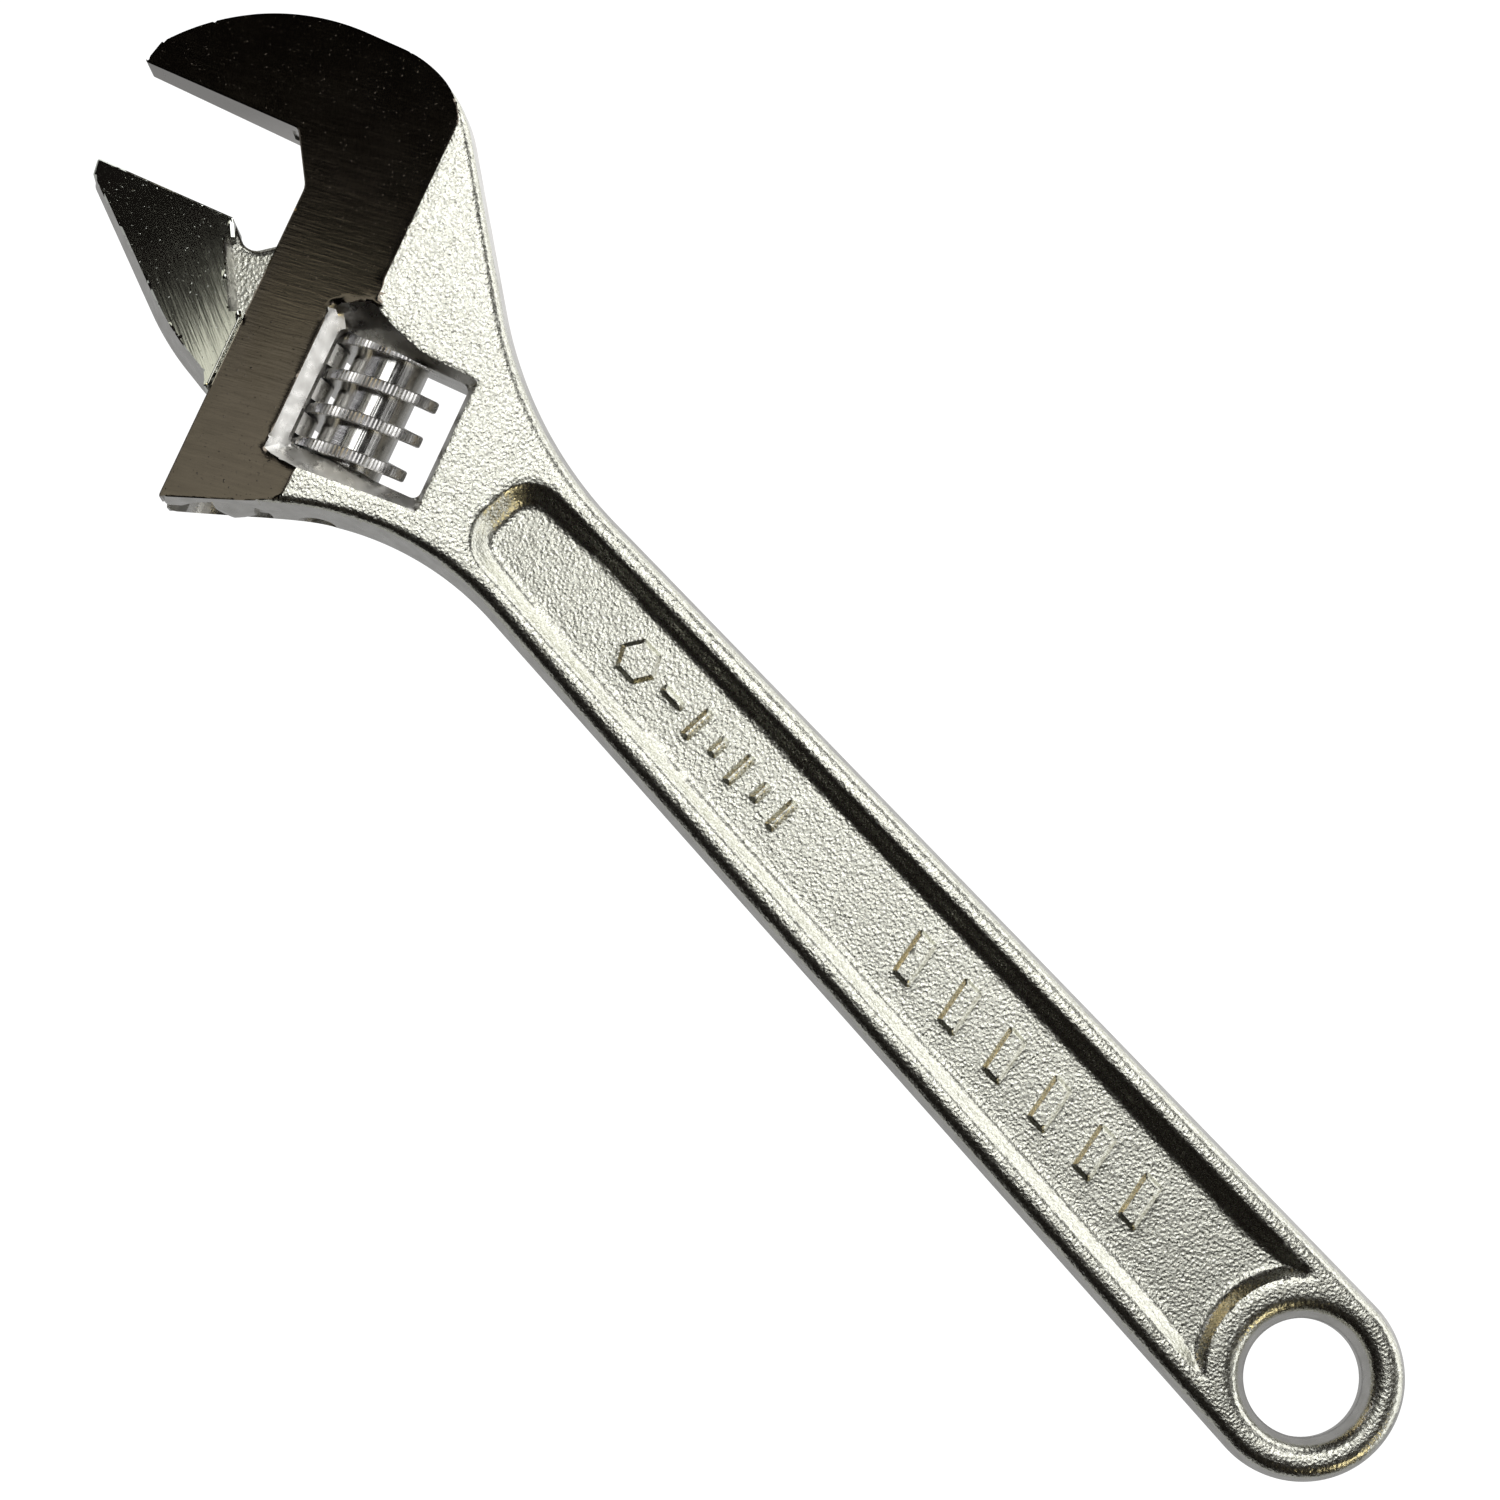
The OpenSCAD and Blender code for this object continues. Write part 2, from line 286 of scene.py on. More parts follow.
def body_outline():
    end_half = handle_half(-END_R)
    taper = math.atan((END_HALF - NECK_HALF) / NECK_X)
    end_r = 0.999 * end_half * math.tan(math.pi / 4 - taper / 2)
    loop = rounded([
        (FRONT_U, CHIN_W, 0.8), (FRONT_U, THROAT_W, 2), (THROAT_U, FIXED_W, 0.8),
        (TIP_U, FIXED_W, 0.3), (TIP_U - 0.7, FIXED_W - 2.8, 0.8),
        (166.9, BACK_W, 26), (143.25, BACK_W, 14),
        handle_corner(NECK_CORNER_X, -handle_half(NECK_CORNER_X), 46),
        handle_corner(-END_R, -end_half, end_r), handle_corner(-END_R, end_half, end_r),
        (127.8, -43.8, 34)])
    return np.stack(to_row(loop[:, 0], loop[:, 1]), 1)


def panel_outline():
    end, start = (handle_half(x) - RIM_W for x in (PANEL_END_X, PANEL_START_X))
    return rounded([(PANEL_END_X, -end, PANEL_CORNER_R), (PANEL_END_X, end, PANEL_CORNER_R),
                    (PANEL_START_X, start, 0), (PANEL_START_X, -start, 0)])


def window_outline():
    corners = [(WINDOW_U0, WINDOW_W0), (WINDOW_U1, WINDOW_W0), (WINDOW_U1, WINDOW_W1),
               (WINDOW_U0, WINDOW_W1)]
    loop = rounded([(u, w, WINDOW_CORNER_R) for u, w in corners], 0.35)
    return np.stack(to_row(loop[:, 0], loop[:, 1]), 1)


def circle(r, step):
    """Evenly spaced points round the origin."""
    count = len(np.arange(0, 2 * math.pi, step / r))
    t = np.linspace(0, 2 * math.pi, count + 1)[:-1]
    return np.stack([r * np.cos(t), r * np.sin(t)], 1)


# ---------------------------------------------------------------- heights of the body's face

def bend(t, r):
    """0 below 0 and t above 0, with the bend rounded over r to each side."""
    return np.clip(t + r, 0, 2 * r) ** 2 / (4 * r) + np.clip(t - r, 0, None)


def forged_base(u):
    """Height of the forging's face: flat on the handle, rising to the head."""
    slope = (HEAD_HALF - HANDLE_HALF_T) / (GROUND_U - RISE_U)
    return HANDLE_HALF_T + slope * bend(u - RISE_U, RISE_BEND)


def ground_height(u):
    return HEAD_HALF - (u - GROUND_U) * FACE_TAPER


def soft_ramp(t, r):
    """0 below 0 and 1 above 1, straight between, with both bends rounded over r."""
    return bend(t, r) - bend(t - 1, r)


class BodyFace:
    """Height of one face of the body over its outline, and what each place on it is."""

    def __init__(self, marks):
        self.marks = [Edge(m) for m in marks]
        self.edge = Edge(body_outline())
        self.panel = Edge(panel_outline())
        self.window = Edge(window_outline())
        u, w = to_head(self.edge.loop[:, 0], self.edge.loop[:, 1])
        flat = (u > FRONT_U - 0.35) & (w > FIXED_W - 0.3) & (w < CHIN_W - 0.7)
        self.drafted = np.where(flat, 0.0, 1.0)
        back = np.clip((u - 118) / 20, 0, 1) * (w < -60)
        near = np.clip((w + 60) / 6, 0, 1)
        along = self.edge.loop[:, 0]
        side = np.where(self.edge.loop[:, 1] > 0, np.interp(along, [105, 135], [0.4, 0.8]), 0.5)
        self.draft = np.where(back > 0, side + (0.25 - side) * back, side)
        head = np.clip((u - 116) / 20, 0, 1)
        self.soft_w = 1.5 - 0.6 * head * near - 0.3 * head * (1 - near)
        self.soft_h = 1.2 - 0.35 * head

    def edge_height(self, d, index, base):
        """Height of the rounded, drafted edge at a distance in from the outline."""
        draft, soft_w, soft_h = self.draft[index], self.soft_w[index], self.soft_h[index]
        wall_top = base - soft_h
        wall = PARTING_LAND + (wall_top - PARTING_LAND) * np.clip(d / draft, 0, 1)
        q = np.clip((d - draft) / soft_w, 0, 1)
        return wall + soft_h * np.sqrt(1 - (1 - q) ** 2)

    def panel_distance(self, points):
        """Distance in from the rim of the panel, and the width of its slope."""
        sides, _ = self.panel.inside(points)
        r = np.hypot(points[:, 0], points[:, 1])
        width = np.interp(points[:, 0], [11, 16, 60, 118, 127], [1.2, 1.8, 1.5, 1.4, 2.0])
        return smooth_min(sides, r - PANEL_RIM_R, 0.7), width

    def window_height(self, u, w, face):
        rise = face - WINDOW_Z
        left_w = 1.9
        top_w = np.interp(u, [127.6, 134, 138, 141.5, 145.2], [0.8, 0.95, 2.2, 3.7, 1.8])
        low_w = np.interp(u, [128.5, 141.3, 144.7], [1.4, 2.5, 2.2])
        left = face + 1.05 * (u - WINDOW_U1 - left_w)
        right = WINDOW_Z + rise * (WINDOW_U0 - u) / 0.6
        top = WINDOW_Z + rise * (WINDOW_W0 - w) / top_w
        low = WINDOW_Z + rise * (w - WINDOW_W1) / low_w
        return smooth_max(smooth_max(left, right, 0.3), smooth_max(top, low, 0.3), 0.3)

    def parts(self, points):
        """Heights of the forging, the grinding plane and the window's slopes at each point."""
        x, y = points[:, 0], points[:, 1]
        u, w = to_head(x, y)
        base = forged_base(u)
        depth, width = self.panel_distance(points)
        sunk = PANEL_FLOOR + (base - PANEL_FLOOR) * bend(1 - depth / width, 0.3)
        near_panel = (x > -END_R) & (x < PANEL_END_X + 6)
        face = np.where(near_panel, smooth_min(base, sunk, 0.3), base)
        for mark in self.marks:
            low, high = mark.loop.min(0) - 1, mark.loop.max(0) + 1
            near = ((points > low) & (points < high)).all(1)
            if near.any():
                d, _ = mark.inside(points[near])
                face[near] += MARK_H * soft_ramp((d + 0.12) / 0.42, 0.2)
        radius = np.hypot(x, y)
        lip = np.interp(radius, LIP_R, LIP_Z)
        face = np.where(radius < LIP_R[-1], np.minimum(face, lip), face)
        d, index = self.edge.inside(points)
        d = np.maximum(d, 0)
        forged = face - base + self.edge_height(d, index, base)
        ground = ground_height(u)
        chamfer = ground - np.clip(CHAMFER - d, 0, None)
        drafted = self.drafted[index]
        forged = np.where(drafted > 0.5, forged, forged + 20)
        ground = np.where(drafted > 0.5, ground, chamfer)
        return forged, ground, self.window_height(u, w, np.minimum(base, ground)), d

    def height(self, points):
        forged, ground, window, _ = self.parts(points)
        return smooth_min(smooth_min(forged, ground, 0.08), window, 0.15)

    def kind(self, points):
        """Which material each place on the face shows."""
        forged, ground, window, d = self.parts(points)
        _, index = self.edge.inside(points)
        kind = np.where(ground < forged, GROUND, FORGED)
        wall = (d < self.draft[index] + 0.05) & (self.drafted[index] > 0.5) & (forged < ground)
        hole = np.hypot(points[:, 0], points[:, 1]) < 7.25
        return np.where(wall | hole | (window < np.minimum(forged, ground)), WALL, kind)


def crossings(loop, normal, inner, outer, difference):
    """Where a difference of heights turns positive on the way out along each vertex's normal."""
    steps = np.linspace(inner, outer, 60)
    found = []
    values = np.stack([difference(loop + normal * s) for s in steps], 1)
    change = (values[:, :-1] < 0) & (values[:, 1:] >= 0)
    for i in range(len(loop)):
        if change[i].any():
            k = int(np.argmax(change[i]))
            a, b = values[i, k], values[i, k + 1]
            s = steps[k] + (steps[k + 1] - steps[k]) * a / (a - b)
            found.append(loop[i] + normal[i] * s)
    return np.array(found)


# ---------------------------------------------------------------- meshes

def spread(layers, gap):
    """Points of all layers in order, without those that lie within a gap of earlier ones."""
    kept = [layers[0]]
    for layer in layers[1:]:
        if len(layer) == 0:
            continue
        layer = layer[np.sort(np.unique(np.round(layer / gap), axis=0, return_index=True)[1])]
        done = np.concatenate(kept)
        tree = KDTree(len(done))
        for i, p in enumerate(done):
            tree.insert((p[0], p[1], 0), i)
        tree.balance()
        far = np.array([tree.find((p[0], p[1], 0))[2] > gap for p in layer])
        kept.append(layer[far])
    return np.concatenate(kept)


def grid(low, high, step):
    """Points of a triangular grid over a box."""
    rows = np.arange(low[1], high[1], step * 0.87)
    return np.array([(x + (k % 2) * step / 2, y) for k, y in enumerate(rows)
                     for x in np.arange(low[0], high[0], step)])


def loop_edges(first, count):
    return [(first + i, first + (i + 1) % count) for i in range(count)]


def sheet_between(loops, extra, gap):
    """Triangles over the first loop, less the other loops, with extra points inside."""
    fixed = np.concatenate(loops)
    edges, first = [], 0
    for loop in loops:
        edges += loop_edges(first, len(loop))
        first += len(loop)
    points = spread([fixed, *extra], gap)
    outer, holes = Edge(loops[0]), [Edge(loop) for loop in loops[1:]]
    keep = outer.inside(points)[0] > gap * 0.7
    for hole in holes:
        keep &= hole.inside(points)[0] < -gap * 0.7
    keep[:len(fixed)] = True
    points = points[keep]
    verts, _, faces, _, _, _ = delaunay_2d_cdt([Vector(p) for p in points], edges, [], 0, 1e-7)
    verts = np.array([(v.x, v.y) for v in verts])
    if len(verts) != len(points):
        raise ValueError("outlines cross in the plan of a face")
    faces = np.array([f for f in faces if len(f) == 3])
    middle = verts[faces].mean(1)
    inside = outer.inside(middle)[0] > SLIVER
    for hole in holes:
        inside &= hole.inside(middle)[0] < -SLIVER
    return verts, faces[inside]


def plate(name, loops, upper, lower, kinds, wall_kinds):
    """Closed mesh between two height fields over the same loops."""
    (top_xy, top_faces, top_z), (low_xy, low_faces, low_z) = upper, lower
    n = len(top_xy)
    verts = np.concatenate([np.column_stack([top_xy, top_z]), np.column_stack([low_xy, -low_z])])
    faces = [tuple(f) for f in top_faces] + [tuple(f[::-1] + n) for f in low_faces]
    slots = list(kinds[0]) + list(kinds[1])
    first = 0
    for loop, kind in zip(loops, wall_kinds):
        count = len(loop)
        outward = area(loop) > 0
        for i in range(count):
            a, b = first + i, first + (i + 1) % count
            if not outward ^ (first > 0):
                a, b = b, a
            faces.append((a, n + a, n + b, b))
            slots.append(kind(loop[i]) if callable(kind) else kind)
        first += count
    return outward_normals(make_mesh(name, verts, faces, slots))


def make_mesh(name, verts, faces, slots=None):
    mesh = bpy.data.meshes.new(name)
    mesh.from_pydata((np.asarray(verts) * MM).tolist(), [], [list(map(int, f)) for f in faces])
    if slots is not None:
        mesh.polygons.foreach_set("material_index", np.asarray(slots, np.int32))
    mesh.update()
    obj = bpy.data.objects.new(name, mesh)
    bpy.context.scene.collection.objects.link(obj)
    return obj


def outward_normals(obj):
    bm = bmesh.new()
    bm.from_mesh(obj.data)
    bmesh.ops.recalc_face_normals(bm, faces=bm.faces)
    if bm.calc_volume(signed=True) < 0:
        bmesh.ops.reverse_faces(bm, faces=bm.faces)
    bm.to_mesh(obj.data)
    bm.free()
    return obj


def combine(obj, other, operation):
    """Boolean of two closed meshes; the second one is used up."""
    modifier = obj.modifiers.new("cut", "BOOLEAN")
    modifier.operation = operation
    modifier.solver = "MANIFOLD"
    modifier.object = other
    depsgraph = bpy.context.evaluated_depsgraph_get()
    made = bpy.data.meshes.new_from_object(obj.evaluated_get(depsgraph))
    obj.modifiers.clear()
    obj.data = made
    bpy.data.objects.remove(other)
    return obj


def along_w(name, rings, u, sides=96, slot=0):
    """Turned solid about a line along w at u: rings are (w, radius) in rising w."""
    t = np.linspace(0, 2 * math.pi, sides, endpoint=False)
    verts, faces = [], []
    for w, r in rings:
        x, y = to_row(u + r * np.cos(t), np.full(sides, w))
        verts.append(np.column_stack([x, y, r * np.sin(t)]))
    for k in range(len(rings) - 1):
        for i in range(sides):
            j = (i + 1) % sides
            faces.append((k * sides + i, k * sides + j, (k + 1) * sides + j, (k + 1) * sides + i))
    faces.append(tuple(range(sides))[::-1])
    faces.append(tuple((len(rings) - 1) * sides + i for i in range(sides)))
    return outward_normals(make_mesh(name, np.concatenate(verts), faces, [slot] * len(faces)))


def bore(obj, u, w0, w1, r, sides=48, slot=0):
    """Round hole along w at u."""
    return combine(obj, along_w("tool", [(w0, r), (w1, r)], u, sides, slot), "DIFFERENCE")


def block(name, u0, u1, w0, w1, z0, z1, turn=None, slot=0):
    """Box in the head's frame; turn tilts it about the u axis through its middle."""
    corners = np.array([(u, w, z) for u in (u0, u1) for w in (w0, w1) for z in (z0, z1)], float)
    if turn:
        middle = corners.mean(0)
        c, s = math.cos(turn), math.sin(turn)
        corners = (corners - middle) @ np.array([[1, 0, 0], [0, c, s], [0, -s, c]]) + middle
    x, y = to_row(corners[:, 0], corners[:, 1])
    faces = [(0, 1, 3, 2), (4, 6, 7, 5), (0, 4, 5, 1), (2, 3, 7, 6), (0, 2, 6, 4), (1, 5, 7, 3)]
    return outward_normals(make_mesh(name, np.column_stack([x, y, corners[:, 2]]), faces,
                                     [slot] * 6))


def finish_piece(obj, body, nodes, materials):
    """Shading, materials and the ride of a finished piece."""
    faces = obj.data.polygons
    kinds = np.zeros(len(faces), np.int32)
    faces.foreach_get("material_index", kinds)
    obj.data.materials.clear()
    for m in materials:
        obj.data.materials.append(m)
    faces.foreach_set("material_index", kinds)
    faces.foreach_set("use_smooth", [True] * len(faces))
    obj.data.set_sharp_from_angle(angle=math.radians(SHARP_DEG))
    weighted = obj.modifiers.new("weighted", "WEIGHTED_NORMAL")
    weighted.keep_sharp = True
    weighted.weight = 60
    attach(obj, body)
    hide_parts(*nodes)


# ---------------------------------------------------------------- the body

def plain_marks(mirrored):
    """Outlines of the raised marks on the panel's floor: a nut, a dash and plain bars."""
    def bar(x, half_w, half_h, lean=0):
        return [(x + half_w + lean, -half_h), (x + half_w - lean, half_h),
                (x - half_w - lean, half_h), (x - half_w + lean, -half_h)]
    shapes = [[(106.5 + 2.5 * math.cos(k * math.pi / 3), 2.5 * math.sin(k * math.pi / 3))
               for k in range(6)]]
    shapes.append(bar(101, 1.5, 0.45))
    shapes += [bar(97 - 3.4 * i, 0.5, 2 if i % 2 == 0 else 1.2) for i in range(5)]
    shapes += [bar(62 - 7.2 * i, 1.2, 2.7, 0.6) for i in range(6)]
    flip = -1 if mirrored else 1
    return [rounded([(x, flip * y, 0.25) for x, y in shape], 0.3) for shape in shapes]


def face_points(face):
    """Points that follow the edges, slopes and rims of one face of the body."""
    layers = []
    loop, normal = face.edge.loop, face.edge.normal

    def ground_first(points):
        forged, ground, _, _ = face.parts(points)
        return forged - ground

    drafted = face.drafted > 0.5
    head = drafted & (to_head(loop[:, 0], loop[:, 1])[0] > GROUND_U)
    layers.append(crossings(loop[head], normal[head], 0.02, 3.2, ground_first))
    window, out = face.window.loop, -face.window.normal

    def rim_first(points):
        forged, ground, slope, _ = face.parts(points)
        return slope - np.minimum(forged, ground)

    layers.append(crossings(window, out, 0.05, 5.5, rim_first))
    w = np.arange(BACK_W, CHIN_W, 0.5)
    for u in (GROUND_U, GROUND_U - 0.2, GROUND_U + 0.2):
        layers.append(np.stack(to_row(np.full(len(w), u), w), 1))
    for inset in BODY_RINGS:
        layers.append(face.edge.ring(inset))
    for inset in PANEL_RINGS:
        ring = face.panel.ring(inset)
        layers.append(ring[np.hypot(ring[:, 0], ring[:, 1]) > PANEL_RIM_R - 0.3])
    layers += [circle(r, 0.5) for r in HOLE_CIRCLES]
    layers += [face.window.ring(-outset) for outset in WINDOW_RINGS]
    layers += [mark.ring(inset) for mark in face.marks for inset in MARK_RINGS]
    layers.append(grid(loop.min(0), loop.max(0), 1.1))
    return layers


def body_piece():
    sides = []
    for mirrored in (False, True):
        face = BodyFace(plain_marks(mirrored))
        loops = [face.edge.loop, circle(HOLE_R, 0.45), face.window.loop]
        xy, faces = sheet_between(loops, face_points(face), 0.13)
        z = face.height(xy)
        count = len(loops[0]) + len(loops[1])
        z[len(loops[0]):count] = HOLE_LAND
        z[count:count + len(loops[2])] = WINDOW_Z
        sides.append((xy, faces, z, face.kind(xy[faces].mean(1))))

    def edge_kind(p):
        u, w = to_head(*p)
        return GROUND if u > FRONT_U - 0.5 and FIXED_W - 0.3 < w < CHIN_W - 0.5 else WALL

    upper, lower = (side[:3] for side in sides)
    obj = plate("wrench_body", loops, upper, lower, (sides[0][3], sides[1][3]),
                (edge_kind, WALL, WALL))
    bore(obj, RACK_U, FIXED_W - 0.8, CHIN_W + 5, RACK_R + RACK_PLAY, 96, WALL)
    half = WEB_HALF_T + WEB_PLAY
    slit = block("slit", RACK_U, THROAT_U + 1, FIXED_W - 0.3, CHIN_W + 4.7, -half, half, slot=WALL)
    combine(obj, slit, "DIFFERENCE")
    bore(obj, WORM_U, WINDOW_W1 - 1, CHIN_W, PIN_HEAD_HOLE_R, slot=WALL)
    bore(obj, WORM_U, WINDOW_W0 - 4.5, WINDOW_W0 + 1, PIN_HOLE_R, slot=WALL)
    return obj


# ---------------------------------------------------------------- the movable jaw

def jaw_outline():
    loop = rounded([
        (TIP_U, JAW_W, 0.3), (THROAT_U + 2.3, JAW_W, 0.3),
        (FRONT_U + SLIDE_GAP, JAW_W + 9.5, 0.3), (FRONT_U + SLIDE_GAP, JAW_W + 18.8, 0.6),
        (161, JAW_W + 15.3, 30), (TIP_U - 0.4, JAW_W + 2.6, 1)], 0.4)
    return np.stack(to_row(loop[:, 0], loop[:, 1]), 1)


def jaw_height(edge, points):
    """Heights and materials of the jaw: a ground face, a drafted outer wall and small chamfers."""
    d, index = edge.inside(points)
    d = np.maximum(d, 0)
    u, _ = to_head(points[:, 0], points[:, 1])
    edge_u, edge_w = to_head(edge.loop[:, 0], edge.loop[:, 1])
    outer = (edge_w > OUTER_W) & (edge_u > OUTER_U)
    draft = np.interp(edge_u, [155, 160, 170, 175.5], [1.35, 1.25, 0.9, 0.5])
    ground = ground_height(u)
    wall = PARTING_LAND + (ground - 0.2) * d / draft[index]
    slant = (edge_u < THROAT_U + 2.4) & (edge_w < JAW_W + 9.6) & (edge_w > JAW_W + 0.2)
    size = np.where(slant, 0.4, CHAMFER)[index]
    chamfer = ground - np.clip(size - d, 0, None)
    forged = np.where(outer[index], wall, ground + 5)
    z = smooth_min(np.where(outer[index], ground, chamfer), forged, 0.1)
    return z, np.where(outer[index] & (wall < ground), WALL, GROUND)


def web_piece():
    """Thin neck between the jaw and its rack, with rounded edges."""
    loop = rounded([
        (THROAT_U + 3.6, JAW_W + 0.05, 0), (THROAT_U + 2.35, JAW_W + 0.05, 0.2),
        (157, JAW_W + 2.6, 1.8), (FRONT_U, JAW_W, 0.5), (RACK_U, JAW_W, 0),
        (RACK_U, JAW_W + 17, 0), (FRONT_U + SLIDE_GAP + 1, JAW_W + 17, 0)], 0.35)
    loop = np.stack(to_row(loop[:, 0], loop[:, 1]), 1)
    edge = Edge(loop)
    rings = [edge.ring(k) for k in WEB_RINGS]
    xy, faces = sheet_between([loop], [*rings, grid(loop.min(0), loop.max(0), 0.6)], 0.12)
    d, _ = edge.inside(xy)
    z = WEB_HALF_T - 0.5 * np.clip(1 - d / 0.6, 0, 1) ** 2
    kinds = [FORGED] * len(faces)
    return plate("web", [loop], (xy, faces, z), (xy, faces, z), (kinds, kinds), (FORGED,))


def rack_piece():
    """Domed bar with one slot for each turn of the worm's thread."""
    end = RACK_END_W - RACK_CUT_SHORT
    rings = [(JAW_W, RACK_R - 0.2), (JAW_W + 0.2, RACK_R), (end - RACK_DOME - 0.1, RACK_R),
             (end - RACK_DOME + 0.15, RACK_R - 0.2), (end - 1.3, 3.2), (end - 0.5, 2.1),
             (end, 1.2)]
    rack = along_w("rack", rings, RACK_U, 96, WALL)
    lead = math.atan(PITCH / (2 * math.pi * WORM_R))
    slot_w = RIDGE_W + 2 * MESH_PLAY
    root = WORM_U + WORM_R + MESH_PLAY
    first = THREAD_W0 + PITCH / 2
    for i in range(-2, 5):
        w = first + i * PITCH
        slot = block("slot", root - RACK_R, root, w - slot_w / 2, w + slot_w / 2,
                     -2 * RACK_R, 2 * RACK_R, turn=lead, slot=WALL)
        combine(rack, slot, "DIFFERENCE")
    run_out = block("run_out", root - RACK_R, root, w, end + 1, -2 * RACK_R, 2 * RACK_R, slot=WALL)
    return combine(rack, run_out, "DIFFERENCE")


def jaw_piece():
    edge = Edge(jaw_outline())
    rings = [edge.ring(k) for k in JAW_RINGS]
    low, high = edge.loop.min(0), edge.loop.max(0)
    xy, faces = sheet_between([edge.loop], [*rings, grid(low, high, 0.8)], 0.07)
    z, _ = jaw_height(edge, xy)
    _, kind = jaw_height(edge, xy[faces].mean(1))

    def edge_kind(p):
        u, w = to_head(*p)
        return WALL if w > OUTER_W and u > OUTER_U else GROUND

    face = xy, faces, z
    obj = plate("sliding_jaw", [edge.loop], face, face, (kind, kind), (edge_kind,))
    combine(obj, web_piece(), "UNION")
    return combine(obj, rack_piece(), "UNION")


# ---------------------------------------------------------------- the worm

def ridge_piece():
    """Square ridge swept along the helix, with a serrated crest and rounded corners."""
    half = RIDGE_W / 2
    low = (WORM_W0 - PITCH - THREAD_W0) / PITCH
    high = (WORM_W1 + PITCH - THREAD_W0) / PITCH
    steps = int((high - low) * TEETH_PER_TURN * len(TOOTH_DEPTH))
    turns = low + (high - low) * np.arange(steps + 1) / steps
    tooth = np.array(TOOTH_DEPTH)[np.arange(steps + 1) % len(TOOTH_DEPTH)]
    profile = [(-half, CORE_R - 0.4), (-half, CORE_R), (-half, WORM_R - 0.22),
               (-half * 0.8, WORM_R - 0.03), (0, WORM_R), (half * 0.8, WORM_R - 0.03),
               (half, WORM_R - 0.22), (half, CORE_R), (half, CORE_R - 0.4)]
    depth = [0, 0, 0.7, 1, 1, 1, 0.7, 0, 0]
    angle = 2 * math.pi * turns
    rings = []
    for (dw, r), share in zip(profile, depth):
        radius = r - tooth * share
        w = THREAD_W0 + PITCH * turns + dw
        x, y = to_row(WORM_U - radius * np.cos(angle), w)
        rings.append(np.column_stack([x, y, radius * np.sin(angle)]))
    verts = np.stack(rings, 1).reshape(-1, 3)
    n = len(profile)
    faces = [(i * n + k, i * n + (k + 1) % n, (i + 1) * n + (k + 1) % n, (i + 1) * n + k)
             for i in range(steps) for k in range(n)]
    faces.append(tuple(range(n))[::-1])
    faces.append(tuple(steps * n + k for k in range(n)))
    crest = [1 if 2 <= k <= 5 else 0 for k in range(n)]
    slots = crest * steps + [0, 0]
    return outward_normals(make_mesh("ridge", verts, faces, slots))


def worm_piece():
    """Core and ridge, both cut flush at the ends, with the pin's bore and the spring's pocket."""
    w0, w1 = WORM_W0, WORM_W1
    obj = along_w("adjusting_worm", [(w0, CORE_R - CHAMFER), (w0 + CHAMFER, CORE_R),
                                     (w1 - CHAMFER, CORE_R), (w1, CORE_R - CHAMFER)], WORM_U, 96)
    slab = along_w("slab", [(w0 + 0.05, WORM_R + 1), (w1 - 0.05, WORM_R + 1)], WORM_U, 64)
    combine(obj, combine(ridge_piece(), slab, "INTERSECT"), "UNION")
    bore(obj, WORM_U, w0 - 1, w1 + 1, WORM_BORE_R)
    return bore(obj, WORM_U, w0 - 1, w0 + POCKET_DEPTH, POCKET_R)


# ---------------------------------------------------------------- materials

